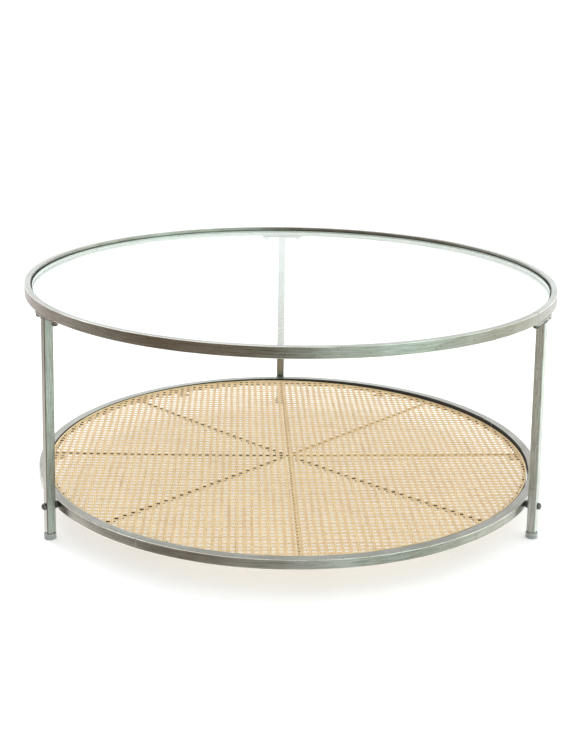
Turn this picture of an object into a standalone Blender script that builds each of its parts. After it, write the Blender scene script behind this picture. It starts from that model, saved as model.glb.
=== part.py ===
"""Round coffee table: steel rings and legs, a loose glass top and a loose cane shelf.

Metres, +Z up, floor at z = 0. The three legs stand at the back, front left and
front right. The rings share one axis, which is moved a little towards the front
so that the origin is the middle of the table's footprint.
"""
from math import cos, pi, radians, sin, sqrt, tan

import bmesh
import bpy
from mathutils import Matrix, Vector

# ---- driving dimensions -----------------------------------------------------
RING_R = 0.450            # outer radius of the top ring
TABLE_H = 0.385           # floor to top of the ring
TOP_RING_W = 0.010        # rectangular tube of the top ring
TOP_RING_H = 0.0175
TUBE_WALL = 0.0015
EDGE = 0.0008             # small bevel on rolled and cut metal
GAP = 0.0003              # clearance between pieces that touch
WELD_GAP = 0.0005         # under the leg plates, for the lean of the legs

LEG_SIDE = 0.015          # square tube of the legs
LEG_CORNER = 0.0018
LEG_TOP_R = 0.4433        # radius of the leg's centre line under its plate
LEG_LEAN = radians(0.85)  # legs lean out towards the floor
LEG_ANGLES = {"back": radians(90), "left": radians(210), "right": radians(330)}

GLASS_T = 0.005
GLASS_R = 0.4385
GLASS_TOP_Z = 0.3797      # the glass lies a little below the ring's top
PAD_R = 0.005
PAD_T = 0.0011
PAD_COUNT = 6
LEDGE_IN_R = 0.428
LEDGE_T = 0.003

PLATE_T = 0.0036          # curved plate on top of each leg
PLATE_HALF_ANGLE = radians(5.4)
PLATE_IN_R = 0.4356
PLATE_OUT_R = 0.4500
SCREW_R = 0.4446          # radius of the circle on which the plate screws stand
SCREW_SWING = radians(4.15)

HEAD_R = 0.0055           # domed heads of all the screws
HEAD_H = 0.0050
SHANK_R = 0.0023
TOP_SHANK_L = 0.0090
BOLT_SHANK_R = 0.0028
BOLT_SHANK_L = 0.0310
HEAD_FLAT_R = 0.0027      # flat on the dome, around its hexagon socket
HEX_R = 0.0021
HEX_DEPTH = 0.0022

SHELF_RING_R = 0.4352     # lower ring, square tube
SHELF_TUBE = 0.015
SHELF_TOP_Z = 0.063
NUT_FLANGE_R = 0.0052
NUT_FLANGE_T = 0.0010
NUT_BODY_R = 0.0038
NUT_BORE_R = 0.0031
NUT_BODY_L = 0.0105
SPACER_R = 0.0062
TAB_W = 0.020             # tabs inside the lower ring that carry the panel
TAB_L = 0.0238
TAB_T = 0.002
TAB_COUNT = 6

PANEL_R = 0.4180          # wooden hoop of the cane panel
PANEL_SHIFT = Vector((-0.0005, -0.0008, 0))  # the loose panel lies off centre
HOOP_W = 0.0065
HOOP_H = 0.0032
BAR_W = 0.009             # flat slats under the cane
BAR_H = 0.0020
LONG_BAR_X = 0.0045       # the front-to-back slat runs beside the others' crossing
BAR_GAP = 0.00045
CANE_T = 0.002
EDGING_W = 0.0045
EDGING_PROUD = 0.0010     # the edging stands above the cane by this
EDGING_OUT_R = 0.4184

FOOT_R = 0.010
FOOT_H = 0.010
FOOT_NECK_R = 0.0068
FOOT_NECK_H = 0.0024
FOOT_STEM_R = 0.0054
FOOT_STEM_L = 0.014

RING_STEPS = 72
SMALL_STEPS = 14
FOOT_STEPS = 20

# ---- worked out -------------------------------------------------------------
RING_BOTTOM_Z = TABLE_H - TOP_RING_H
PLATE_TOP_Z = RING_BOTTOM_Z - GAP
PLATE_BOTTOM_Z = PLATE_TOP_Z - PLATE_T
LEG_TOP_Z = PLATE_BOTTOM_Z - WELD_GAP
LEG_FOOT_Z = FOOT_H + FOOT_NECK_H
LEG_LENGTH = (LEG_TOP_Z - LEG_FOOT_Z) / cos(LEG_LEAN)
GLASS_BOTTOM_Z = GLASS_TOP_Z - GLASS_T
LEDGE_TOP_Z = GLASS_BOTTOM_Z - PAD_T - 2 * GAP
SHELF_BOTTOM_Z = SHELF_TOP_Z - SHELF_TUBE
SHELF_IN_R = SHELF_RING_R - SHELF_TUBE
BOLT_Z = SHELF_BOTTOM_Z + SHELF_TUBE / 2
HOOP_BOTTOM_Z = SHELF_BOTTOM_Z + TAB_T + GAP
HOOP_TOP_Z = HOOP_BOTTOM_Z + HOOP_H
CANE_BOTTOM_Z = HOOP_TOP_Z + GAP
CANE_TOP_Z = CANE_BOTTOM_Z + CANE_T
CANE_R = EDGING_OUT_R - EDGING_W - GAP


def leg_radius(z):
    """Distance of a leg's centre line from the table's axis at height z."""
    return LEG_TOP_R + (LEG_TOP_Z - z) * tan(LEG_LEAN)


LEG_OUTER_AT_BOLT = leg_radius(BOLT_Z) + LEG_SIDE / 2 / cos(LEG_LEAN)
LEG_INNER_AT_BOLT = leg_radius(BOLT_Z) - LEG_SIDE / 2 / cos(LEG_LEAN)
HEAD_SEAT_R = LEG_OUTER_AT_BOLT + 1.3 * GAP
AXIS_Y = (RING_R - (HEAD_SEAT_R + HEAD_H)) / 2   # centres the footprint on the origin


# ---- scene, collections, materials ------------------------------------------
for old in list(bpy.data.objects):
    bpy.data.objects.remove(old, do_unlink=True)

TABLE = bpy.data.collections.new("coffee_table")
CUTTERS = bpy.data.collections.new("cutters")
for collection in (TABLE, CUTTERS):
    bpy.context.scene.collection.children.link(collection)


def material(name, colour, roughness, metallic=0.0, transmission=0.0):
    mat = bpy.data.materials.new(name)
    mat.use_nodes = True
    shader = mat.node_tree.nodes["Principled BSDF"]
    shader.inputs["Base Color"].default_value = (*colour, 1)
    shader.inputs["Roughness"].default_value = roughness
    shader.inputs["Metallic"].default_value = metallic
    shader.inputs["Transmission Weight"].default_value = transmission
    mat.diffuse_color = (*colour, 1)
    return mat


STEEL = material("zinc_steel", (0.45, 0.47, 0.44), 0.38, metallic=1.0)
SCREW_STEEL = material("screw_steel", (0.35, 0.35, 0.34), 0.3, metallic=1.0)
GLASS = material("clear_glass", (0.90, 0.97, 0.95), 0.03, transmission=0.9)
PAD = material("clear_pad", (0.85, 0.87, 0.86), 0.4, transmission=0.5)
CANE = material("cane", (0.82, 0.65, 0.38), 0.5)
WOOD = material("brown_wood", (0.16, 0.09, 0.04), 0.6)
PLASTIC = material("grey_plastic", (0.30, 0.32, 0.30), 0.45)
DARK = material("dark_plastic", (0.05, 0.05, 0.05), 0.5)

axis_empty = bpy.data.objects.new("table_axis", None)
axis_empty.location = (0, AXIS_Y, 0)
TABLE.objects.link(axis_empty)
panel_empty = bpy.data.objects.new("panel_axis", None)
panel_empty.parent = axis_empty
panel_empty.location = PANEL_SHIFT
TABLE.objects.link(panel_empty)


# ---- helpers ----------------------------------------------------------------
def place(obj, mat, parent=axis_empty, location=(0, 0, 0), rotation=None):
    """Link a finished piece, give it its material and stand it in its place."""
    TABLE.objects.link(obj)
    obj.parent = parent
    obj.location = location
    if rotation is not None:
        obj.rotation_euler = rotation.to_euler()
    if not obj.data.materials:
        obj.data.materials.append(mat)
    return obj


def smooth(mesh):
    mesh.shade_smooth()
    mesh.set_sharp_from_angle(angle=radians(35))


def settled(obj):
    """Apply an unlinked piece's modifiers and return its mesh."""
    bpy.context.scene.collection.objects.link(obj)
    graph = bpy.context.evaluated_depsgraph_get()
    graph.update()
    mesh = bpy.data.meshes.new_from_object(obj.evaluated_get(graph))
    bpy.data.objects.remove(obj, do_unlink=True)
    work = bmesh.new()
    work.from_mesh(mesh)
    bmesh.ops.remove_doubles(work, verts=work.verts, dist=1e-6)
    bmesh.ops.recalc_face_normals(work, faces=work.faces)
    work.to_mesh(mesh)
    work.free()
    smooth(mesh)
    return mesh


def turned_mesh(name, profile, steps, ring=False):
    """Turn a profile about Z. It runs down its outer side; a ring's profile is closed."""
    mesh = bpy.data.meshes.new(name)
    count = len(profile)
    edges = [(i, i + 1) for i in range(count - 1)]
    if ring:
        edges.append((count - 1, 0))
    mesh.from_pydata([(r, 0, z) for r, z in profile], edges, [])
    obj = bpy.data.objects.new(name, mesh)
    screw = obj.modifiers.new("turn", "SCREW")
    screw.steps = screw.render_steps = steps
    screw.use_merge_vertices = True
    screw.merge_threshold = 1e-5
    weld = obj.modifiers.new("weld", "WELD")
    weld.merge_threshold = 1e-6
    turned = settled(obj)
    turned.name = name
    return turned


def box_profile(r0, r1, z0, z1, bevel=0.0):
    """Closed outline of a ring's section, run down its outer side."""
    if not bevel:
        return [(r0, z1), (r1, z1), (r1, z0), (r0, z0)]
    return [(r0 + bevel, z1), (r1 - bevel, z1), (r1, z1 - bevel), (r1, z0 + bevel),
            (r1 - bevel, z0), (r0 + bevel, z0), (r0, z0 + bevel), (r0, z1 - bevel)]


def outline_mesh(name, outlines, thickness):
    """A flat outline, with any holes as further outlines, made thickness thick."""
    curve = bpy.data.curves.new(name, "CURVE")
    curve.dimensions = "2D"
    curve.fill_mode = "BOTH"
    curve.extrude = thickness / 2
    for points in outlines:
        spline = curve.splines.new("POLY")
        spline.points.add(len(points) - 1)
        for point, (x, y) in zip(spline.points, points):
            point.co = (x, y, 0, 1)
        spline.use_cyclic_u = True
    return settled(bpy.data.objects.new(name, curve))


def circle_points(centre, radius, count):
    return [(centre[0] + radius * cos(2 * pi * i / count),
             centre[1] + radius * sin(2 * pi * i / count)) for i in range(count)]


def rounded_square(side, corner, steps=3):
    """Square outline about the origin with round corners."""
    inner = side / 2 - corner
    points = []
    for quarter, (sx, sy) in enumerate(((1, 1), (-1, 1), (-1, -1), (1, -1))):
        for i in range(steps + 1):
            angle = pi / 2 * (quarter + i / steps)
            points.append((sx * inner + corner * cos(angle), sy * inner + corner * sin(angle)))
    return points


def rod(name, radius, length, direction, start, sides=20):
    """Cutter: a hidden round rod from start along direction."""
    mesh = bpy.data.meshes.new(name)
    work = bmesh.new()
    along = Vector(direction).normalized()
    turn = along.to_track_quat("Z", "Y").to_matrix().to_4x4()
    middle = Matrix.Translation(Vector(start) + along * length / 2)
    bmesh.ops.create_cone(work, cap_ends=True, segments=sides, radius1=radius, radius2=radius,
                          depth=length, matrix=middle @ turn)
    work.to_mesh(mesh)
    work.free()
    cutter = bpy.data.objects.new(name, mesh)
    CUTTERS.objects.link(cutter)
    cutter.parent = axis_empty
    cutter.hide_render = True
    cutter.display_type = "WIRE"
    return cutter


def cut(obj, cutter):
    boolean = obj.modifiers.new("cut_" + cutter.name, "BOOLEAN")
    boolean.operation = "DIFFERENCE"
    boolean.object = cutter


def hollow(obj, name, profile):
    """Cut a turned hollow out of a ring, so that it is a tube."""
    cutter = bpy.data.objects.new(name, turned_mesh(name, profile, RING_STEPS, ring=True))
    CUTTERS.objects.link(cutter)
    cutter.parent = axis_empty
    cutter.hide_render = True
    cutter.display_type = "WIRE"
    cut(obj, cutter)


def outward(angle):
    return Vector((cos(angle), sin(angle), 0))


def facing(angle):
    """Rotation that turns +X to point away from the table's axis."""
    return Matrix.Rotation(angle, 3, "Z")


# ---- the top: ring, ledge, pads, glass ---------------------------------------
def make_top_ring():
    profile = box_profile(RING_R - TOP_RING_W, RING_R, RING_BOTTOM_Z, TABLE_H, EDGE)
    ring = bpy.data.objects.new("top_ring", turned_mesh("top_ring", profile, RING_STEPS, ring=True))
    place(ring, STEEL)
    hollow(ring, "top_ring_hollow",
           box_profile(RING_R - TOP_RING_W + TUBE_WALL, RING_R - TUBE_WALL,
                       RING_BOTTOM_Z + TUBE_WALL, TABLE_H - TUBE_WALL))
    for side, angle in LEG_ANGLES.items():
        for end in (-1, 1):
            start = outward(angle + end * SCREW_SWING) * SCREW_R
            start.z = RING_BOTTOM_Z - TUBE_WALL
            cut(ring, rod(f"ring_hole_{side}_{end}", SHANK_R + GAP, 3 * TUBE_WALL, (0, 0, 1), start))


def make_glass_top():
    ledge = box_profile(LEDGE_IN_R, RING_R - TOP_RING_W - GAP, LEDGE_TOP_Z - LEDGE_T, LEDGE_TOP_Z)
    place(bpy.data.objects.new("glass_ledge", turned_mesh("glass_ledge", ledge, RING_STEPS, True)),
          STEEL)
    bevel = 0.0007
    glass = [(0, GLASS_TOP_Z), (GLASS_R - bevel, GLASS_TOP_Z), (GLASS_R, GLASS_TOP_Z - bevel),
             (GLASS_R, GLASS_BOTTOM_Z + bevel), (GLASS_R - bevel, GLASS_BOTTOM_Z),
             (0, GLASS_BOTTOM_Z)]
    place(bpy.data.objects.new("glass_top", turned_mesh("glass_top", glass, RING_STEPS)), GLASS)
    pad = turned_mesh("glass_pad", [(0, PAD_T), (PAD_R - PAD_T / 2, PAD_T), (PAD_R, PAD_T / 2),
                                    (PAD_R, 0), (0, 0)], SMALL_STEPS)
    pad_radius = (LEDGE_IN_R + GLASS_R) / 2 + GAP
    for i in range(PAD_COUNT):
        angle = 2 * pi * (i + 0.5) / PAD_COUNT
        spot = outward(angle) * pad_radius
        spot.z = LEDGE_TOP_Z + GAP
        place(bpy.data.objects.new(f"glass_pad_{i + 1}", pad), PAD, location=spot)


# ---- screws -----------------------------------------------------------------
def screw_mesh(name, shank_r, shank_l):
    """Dome-head screw: shank up +Z from the head's flat side at z = 0, dome below."""
    chamfer = 0.0006
    rim = 0.0010
    arc_steps = 3
    profile = [(0, shank_l), (shank_r - chamfer, shank_l), (shank_r, shank_l - chamfer),
               (shank_r, 0), (HEAD_R, 0)]
    for i in range(arc_steps + 1):
        swing = pi / 2 * i / arc_steps
        profile.append((HEAD_FLAT_R + (HEAD_R - HEAD_FLAT_R) * cos(swing),
                        -rim - (HEAD_H - rim) * sin(swing)))
    profile.append((0, -HEAD_H))
    blank = bpy.data.objects.new(name, turned_mesh(name, profile, SMALL_STEPS))
    socket = rod(name + "_socket", HEX_R, 2 * HEX_DEPTH, (0, 0, 1), (0, 0, -HEAD_H - HEX_DEPTH), 6)
    socket.parent = None
    cut(blank, socket)
    mesh = settled(blank)
    mesh.name = name
    bpy.data.objects.remove(socket, do_unlink=True)
    return mesh


# ---- legs -------------------------------------------------------------------
def make_plate(side, angle):
    """Curved plate welded on the leg, screwed up against the top ring."""
    steps = 8
    end = (PLATE_OUT_R - PLATE_IN_R) / 2
    middle = (PLATE_OUT_R + PLATE_IN_R) / 2
    straight = PLATE_HALF_ANGLE - end / middle
    points = []
    for i in range(steps + 1):
        swing = -straight + 2 * straight * i / steps
        points.append((PLATE_OUT_R * cos(swing), PLATE_OUT_R * sin(swing)))
    for sign, first, last in ((1, 0, pi), (-1, pi, 2 * pi)):
        centre = Vector((middle * cos(sign * straight), middle * sin(sign * straight)))
        for i in range(1, steps):
            turn = sign * straight + first + (last - first) * i / steps
            points.append((centre.x + end * cos(turn), centre.y + end * sin(turn)))
        if sign == 1:
            for i in range(steps + 1):
                swing = straight - 2 * straight * i / steps
                points.append((PLATE_IN_R * cos(swing), PLATE_IN_R * sin(swing)))
    holes = [circle_points((SCREW_R * cos(s * SCREW_SWING), SCREW_R * sin(s * SCREW_SWING)),
                           SHANK_R + 2 * GAP, 16) for s in (-1, 1)]
    plate = bpy.data.objects.new("leg_plate_" + side, outline_mesh("leg_plate", [points] + holes, PLATE_T))
    place(plate, STEEL, location=(0, 0, (PLATE_TOP_Z + PLATE_BOTTOM_Z) / 2), rotation=facing(angle))


def make_leg(side, angle):
    outlines = [rounded_square(LEG_SIDE, LEG_CORNER),
                rounded_square(LEG_SIDE - 2 * TUBE_WALL, LEG_CORNER / 2, steps=1)]
    leg = bpy.data.objects.new("leg_" + side, outline_mesh("leg", outlines, LEG_LENGTH))
    spot = outward(angle) * leg_radius((LEG_TOP_Z + LEG_FOOT_Z) / 2)
    spot.z = (LEG_TOP_Z + LEG_FOOT_Z) / 2
    lean = facing(angle) @ Matrix.Rotation(-LEG_LEAN, 3, "Y")
    place(leg, STEEL, location=spot, rotation=lean)
    start = outward(angle) * (LEG_INNER_AT_BOLT - LEG_SIDE)
    start.z = BOLT_Z
    cut(leg, rod("leg_hole_" + side, BOLT_SHANK_R + GAP, 3 * LEG_SIDE, outward(angle), start))


def make_foot(side, angle, mesh):
    spot = outward(angle) * leg_radius(LEG_FOOT_Z)
    place(bpy.data.objects.new("foot_" + side, mesh), PLASTIC, location=spot)


def foot_mesh():
    """Round glide with a narrow neck and a stem that plugs the tube."""
    toe = 0.003
    arc = [(FOOT_R - toe + toe * cos(pi / 2 * i / 3), toe - toe * sin(pi / 2 * i / 3))
           for i in range(4)]
    stem_top = LEG_FOOT_Z + FOOT_STEM_L
    profile = [(0, stem_top), (FOOT_STEM_R, stem_top), (FOOT_STEM_R, LEG_FOOT_Z - 2 * GAP),
               (FOOT_NECK_R, LEG_FOOT_Z - 2 * GAP), (FOOT_NECK_R, FOOT_H),
               (FOOT_R - EDGE, FOOT_H), (FOOT_R, FOOT_H - EDGE)] + arc + [(0, 0)]
    return turned_mesh("foot", profile, FOOT_STEPS)


def make_legs():
    top_screw = screw_mesh("plate_screw", SHANK_R, TOP_SHANK_L)
    bolt = screw_mesh("shelf_bolt", BOLT_SHANK_R, BOLT_SHANK_L)
    foot = foot_mesh()
    for side, angle in LEG_ANGLES.items():
        make_leg(side, angle)
        make_plate(side, angle)
        make_foot(side, angle, foot)
        for number, end in enumerate((-1, 1), 1):
            spot = outward(angle + end * SCREW_SWING) * SCREW_R
            spot.z = PLATE_BOTTOM_Z - GAP
            place(bpy.data.objects.new(f"plate_screw_{side}_{number}", top_screw), SCREW_STEEL,
                  location=spot)
        inward = facing(angle) @ Matrix.Rotation(-pi / 2, 3, "Y")
        seat = outward(angle) * HEAD_SEAT_R
        seat.z = BOLT_Z
        place(bpy.data.objects.new("shelf_bolt_" + side, bolt), SCREW_STEEL, location=seat,
              rotation=inward)
        make_nut_and_spacer(side, angle)


def make_nut_and_spacer(side, angle):
    """Rivet nut in the lower ring's wall, and the spacer between it and the leg."""
    outward_turn = facing(angle) @ Matrix.Rotation(pi / 2, 3, "Y")
    flange = NUT_FLANGE_T
    nut = turned_mesh("rivet_nut", [
        (NUT_BORE_R, flange), (NUT_FLANGE_R, flange), (NUT_FLANGE_R, 0), (NUT_BODY_R, 0),
        (NUT_BODY_R, -NUT_BODY_L), (NUT_BORE_R, -NUT_BODY_L)], SMALL_STEPS, ring=True)
    spot = outward(angle) * (SHELF_RING_R + GAP)
    spot.z = BOLT_Z
    place(bpy.data.objects.new("rivet_nut_" + side, nut), SCREW_STEEL, location=spot,
          rotation=outward_turn)
    start = SHELF_RING_R + 2 * GAP + NUT_FLANGE_T
    length = LEG_INNER_AT_BOLT - 1.5 * GAP - start
    spacer = turned_mesh("spacer", box_profile(NUT_BORE_R, SPACER_R, 0, length, EDGE / 2),
                         SMALL_STEPS, ring=True)
    place(bpy.data.objects.new("spacer_" + side, spacer), DARK,
          location=outward(angle) * start + Vector((0, 0, BOLT_Z)), rotation=outward_turn)


# ---- lower ring with its tabs -------------------------------------------------
def make_lower_ring():
    profile = box_profile(SHELF_IN_R, SHELF_RING_R, SHELF_BOTTOM_Z, SHELF_TOP_Z, EDGE)
    ring = bpy.data.objects.new("lower_ring", turned_mesh("lower_ring", profile, RING_STEPS, True))
    place(ring, STEEL)
    hollow(ring, "lower_ring_hollow",
           box_profile(SHELF_IN_R + TUBE_WALL, SHELF_RING_R - TUBE_WALL,
                       SHELF_BOTTOM_Z + TUBE_WALL, SHELF_TOP_Z - TUBE_WALL))
    for side, angle in LEG_ANGLES.items():
        start = outward(angle) * (SHELF_RING_R - 2 * TUBE_WALL)
        start.z = BOLT_Z
        cut(ring, rod("nut_hole_" + side, NUT_BODY_R + GAP, 4 * TUBE_WALL, outward(angle), start))

    # a tab has round inner corners and a square end where it is welded to the ring
    corner = TAB_W / 4
    inner_end = []
    for quarter in (1, 2):
        for i in range(4):
            turn = pi / 2 * (quarter + i / 3)
            flip = 1 if quarter == 1 else -1
            inner_end.append((corner - TAB_L / 2 + corner * cos(turn),
                              flip * (TAB_W / 2 - corner) + corner * sin(turn)))
    outline = inner_end + [(TAB_L / 2, -TAB_W / 2), (TAB_L / 2, TAB_W / 2)]
    tab = outline_mesh("shelf_tab", [outline], TAB_T)
    end_r = sqrt(((SHELF_IN_R - GAP) * cos(pi / RING_STEPS)) ** 2 - (TAB_W / 2) ** 2)
    for i in range(TAB_COUNT):
        angle = 2 * pi * i / TAB_COUNT
        spot = outward(angle) * (end_r - TAB_L / 2)
        spot.z = SHELF_BOTTOM_Z + TAB_T / 2
        place(bpy.data.objects.new(f"shelf_tab_{i + 1}", tab), STEEL, location=spot,
              rotation=facing(angle))


# ---- cane panel ---------------------------------------------------------------
def make_bar(name, angle, start, end, aside=0):
    """A flat slat from start to end along a direction, aside to its right."""
    mesh = bpy.data.meshes.new(name)
    work = bmesh.new()
    size = Matrix.Diagonal((end - start, BAR_W, BAR_H, 1))
    bmesh.ops.create_cube(work, size=1, matrix=size)
    work.to_mesh(mesh)
    work.free()
    spot = outward(angle) * (start + end) / 2 - outward(angle + pi / 2) * aside
    spot.z = HOOP_TOP_Z - BAR_H / 2
    place(bpy.data.objects.new(name, mesh), WOOD, parent=panel_empty, location=spot,
          rotation=facing(angle))


def diagonal_start(long_bar_side):
    """Where a diagonal slat begins, clear of the long bar's side and of the level slats."""
    clear = max(long_bar_side, BAR_W / 2) + BAR_GAP
    return clear / sin(pi / 4) + BAR_W / 2


def make_panel():
    hoop_in_r = PANEL_R - HOOP_W
    hoop = box_profile(hoop_in_r, PANEL_R, HOOP_BOTTOM_Z, HOOP_TOP_Z)
    place(bpy.data.objects.new("panel_hoop", turned_mesh("panel_hoop", hoop, RING_STEPS, True)),
          WOOD, parent=panel_empty)

    hoop_flat_r = hoop_in_r * cos(pi / RING_STEPS) - GAP
    reach = sqrt(hoop_flat_r ** 2 - (BAR_W / 2) ** 2)
    long_reach = sqrt(hoop_flat_r ** 2 - (LONG_BAR_X + BAR_W / 2) ** 2)
    right_side = BAR_W / 2 + LONG_BAR_X
    left_side = BAR_W / 2 - LONG_BAR_X
    make_bar("panel_bar_long", radians(90), -long_reach, long_reach, LONG_BAR_X)
    make_bar("panel_bar_right", 0, right_side + GAP, reach)
    make_bar("panel_bar_left", pi, left_side + GAP, reach)
    for name, degrees, side in (("back_right", 45, right_side), ("back_left", 135, left_side),
                                ("front_left", 225, left_side), ("front_right", 315, right_side)):
        make_bar("panel_bar_" + name, radians(degrees), diagonal_start(side), reach)

    cane = turned_mesh("cane_sheet", [(0, CANE_TOP_Z), (CANE_R, CANE_TOP_Z),
                                      (CANE_R, CANE_BOTTOM_Z), (0, CANE_BOTTOM_Z)], RING_STEPS)
    place(bpy.data.objects.new("cane_sheet", cane), CANE, parent=panel_empty)

    inner = EDGING_OUT_R - EDGING_W
    shoulder = EDGING_W / 4
    rim = [(inner, CANE_BOTTOM_Z), (inner, CANE_TOP_Z), (inner + shoulder, CANE_TOP_Z + EDGING_PROUD),
           (EDGING_OUT_R - shoulder, CANE_TOP_Z + EDGING_PROUD), (EDGING_OUT_R, CANE_TOP_Z),
           (EDGING_OUT_R, CANE_BOTTOM_Z)]
    place(bpy.data.objects.new("panel_edging", turned_mesh("panel_edging", rim, RING_STEPS, True)),
          CANE, parent=panel_empty)


make_top_ring()
make_glass_top()
make_legs()
make_lower_ring()
make_panel()
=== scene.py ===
"""The looks of the round metal coffee table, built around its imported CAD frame.

Metres, +Z up. The table's front faces -Y. The bodies are the welded frame, the
loose glass top and the loose cane shelf panel.
"""

import math

import bmesh
import bpy
import numpy as np
from mathutils import Matrix, Vector


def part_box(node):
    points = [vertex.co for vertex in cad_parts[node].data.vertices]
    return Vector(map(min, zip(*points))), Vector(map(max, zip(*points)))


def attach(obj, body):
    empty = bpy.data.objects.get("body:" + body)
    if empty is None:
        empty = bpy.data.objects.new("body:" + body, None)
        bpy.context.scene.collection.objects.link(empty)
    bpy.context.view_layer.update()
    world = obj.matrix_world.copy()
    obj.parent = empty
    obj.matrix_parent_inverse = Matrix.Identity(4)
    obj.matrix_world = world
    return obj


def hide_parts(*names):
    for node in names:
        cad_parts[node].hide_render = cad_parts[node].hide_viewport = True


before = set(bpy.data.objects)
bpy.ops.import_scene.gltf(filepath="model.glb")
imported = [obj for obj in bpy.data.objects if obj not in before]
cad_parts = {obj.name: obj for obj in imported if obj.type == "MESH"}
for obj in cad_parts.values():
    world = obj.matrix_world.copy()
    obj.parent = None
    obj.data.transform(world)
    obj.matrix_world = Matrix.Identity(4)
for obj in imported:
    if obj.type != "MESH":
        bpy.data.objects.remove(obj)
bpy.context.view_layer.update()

LEGS = {"back": 90.0, "left": 210.0, "right": 330.0}    # headings round the ring, in degrees
FRAME_BODY, GLASS_BODY, PANEL_BODY = "frame", "glass", "shelf_panel"
UP = Vector((0, 0, 1))

# Frame tubes
TUBE_WALL = 0.0015
TOP_TUBE_WIDTH = 0.010
LEDGE_WIDTH = 0.0117
EDGE_RADIUS = 0.0009
RING_STEPS = 288
RING_OUT_OF_TRUE = 0.00015
SHEET_BEVEL = 0.0004
SHANK_HOLE = 0.0026               # radius of the holes for the plate screws
NUT_HOLE = 0.0040                 # radius of the holes for the rivet nuts

# Welds
SEAM_HEIGHT = 0.00040
SEAM_WIDTH = 0.0017               # half the band's length along the ring
SEAM_SINK = 0.00012
SEAM_STEPS = 8
TOP_RING_SEAMS = (325.0, 90.0)    # degrees
LOWER_RING_SEAMS = (236.5, 20.0)
LEG_SIDE = 0.015
LEG_CORNER = 0.0018
WELD_RADIUS = 0.0014
WELD_SINK = 0.0004
WELD_STEPS = 8

# Screws and bolts
HEAD_RADIUS = 0.0055
HEAD_HEIGHT = 0.0050
HEAD_FLAT = 0.0027
HEAD_RIM = 0.0010
HEAD_CHAMFER = 0.0003
SOCKET_RADIUS = 0.0021
SOCKET_DEPTH = 0.0024
THREAD_PITCH = 0.0008
THREAD_DEPTH = 0.0003
PLATE_SHANK = 0.0023
BOLT_SHANK = 0.0028
SMALL_STEPS = 40

# Spacers and feet
SPACER_RADIUS = 0.0062
SPACER_BORE = 0.0031
SPACER_EDGE = 0.0004
FOOT_RADIUS = 0.010
FOOT_HEIGHT = 0.010
FOOT_NECK = 0.0068
FOOT_STEM = 0.0054
FOOT_SOLE_RADIUS = 0.0012
FOOT_RIM_RADIUS = 0.0010
FOOT_DRAFT = 0.0003               # how much narrower the cap is at its top
FOOT_HOLLOW = 0.0004              # the middle of the sole stands this far off the floor
FOOT_RIBS = 4

# Shelf panel
HOOP_WIDTH = 0.0065
HOOP_EDGE = 0.0008
EDGING_WIDTH = 0.0028
EDGING_EDGE = 0.0013
EDGING_OUT_OF_TRUE = 0.0002
WARP = 0.0058
WARP_LOW_TURN = 40.0              # heading of the side that stays down, in degrees
LONG_EDGE = 0.05                  # slat edges longer than this are divided, so that they bend
# The slats listed first get a near-black copy of the wood as painted shade, as the hoop does; those
# listed second a golden copy as painted light.
SHADED_BARS = ("left", "back_left", "front_left", "front_right")
LIT_BARS = ("long", "right", "back_right")

# Cane cloth
CANE_PITCH = 0.012
CANE_BAND = (0.0066, 0.0064)      # width of the bands along X, and of those along Y
STRANDS = 4                       # strands in a band
STRAND_WIDTH = (0.00158, 0.00154)
STRAND_THICKNESS = 0.00090
STRAND_LIFT = 0.00064
CANE_SHIFT = (0.006, 0.0025)      # where the weave lies, in X and Y, against the panel's middle
CANE_UNDER_EDGING = 0.0008
STRAND_WAVE = 0.00028
STRAND_SPREAD = 0.00012
CANE_SEED = 7

# Brushed metal, in marks per metre
BRUSH_ACROSS = 1100.0
BRUSH_ALONG = 30.0

# Studio. A patch is a soft box (+1) or a dark flag (-1) round the table: its turn, elevation,
# width and height in degrees, its sign and its colour. The turn is 0 on the camera's side.
STUDIO_BASE = (1.0, 0.98, 0.96)
STUDIO_PATCHES = [
    (-52.0, -8.0, 36.0, 23.0, -1.0, (0.70, 0.80, 0.88)),
    (-9.0, -8.0, 20.0, 21.0, -1.0, (0.66, 0.69, 0.76)),
    (-114.0, -6.0, 34.0, 18.0, -1.0, (0.62, 0.70, 0.76)),
    (-124.0, -36.0, 28.0, 18.0, 1.0, (1.90, 1.84, 1.80)),
    (46.0, 0.0, 31.0, 24.0, 1.0, (1.45, 2.15, 1.90)),
    (98.0, 0.0, 30.0, 50.0, 1.0, (0.88, 0.98, 0.82)),
    (126.0, 0.0, 26.0, 50.0, 1.0, (0.25, 0.25, 0.25)),
    (56.0, -28.0, 18.0, 8.0, -1.0, (0.55, 0.60, 0.60)),
    (-4.0, -32.0, 34.0, 9.0, 1.0, (0.55, 0.60, 0.60)),
    (180.0, 13.0, 110.0, 12.0, 1.0, (0.56, 0.66, 0.68)),
    (0.0, -80.0, 1000.0, 32.0, 1.0, (0.60, 0.60, 0.60)),
]
BACKDROP_GLOW = 1.2
KEY_ENERGY = 0.9
KEY_ANGLE = 40.0
KEY_TURN, KEY_ELEVATION = -150.0, 50.0
FLOOR_HALF = 30.0
FLOOR_GLOW = 0.32

# The camera: where it stands, seen from the middle of the table
CAMERA_DISTANCE = 2.0265
CAMERA_ABOVE_TOP = 0.4568
CAMERA_SIDEWAYS = -0.0059
CAMERA_DOWN = 0.2266
CAMERA_ROLL = 0.0158
CAMERA_TURN = 0.0408
CAMERA_LENS = 58.97
CAMERA_SHIFT_Y = -0.1196
SENSOR_WIDTH = 36.0


def middle(node):
    """Centre of a CAD node's box."""
    low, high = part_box(node)
    return (low + high) / 2


def outward(degrees):
    """Level unit vector pointing away from the ring axis."""
    angle = math.radians(degrees)
    return Vector((math.cos(angle), math.sin(angle), 0.0))


RING_AXIS = Vector((middle("glass_top").x, middle("glass_top").y, 0.0))
PANEL_AXIS = Vector((middle("panel_edging").x, middle("panel_edging").y, 0.0))


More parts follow.
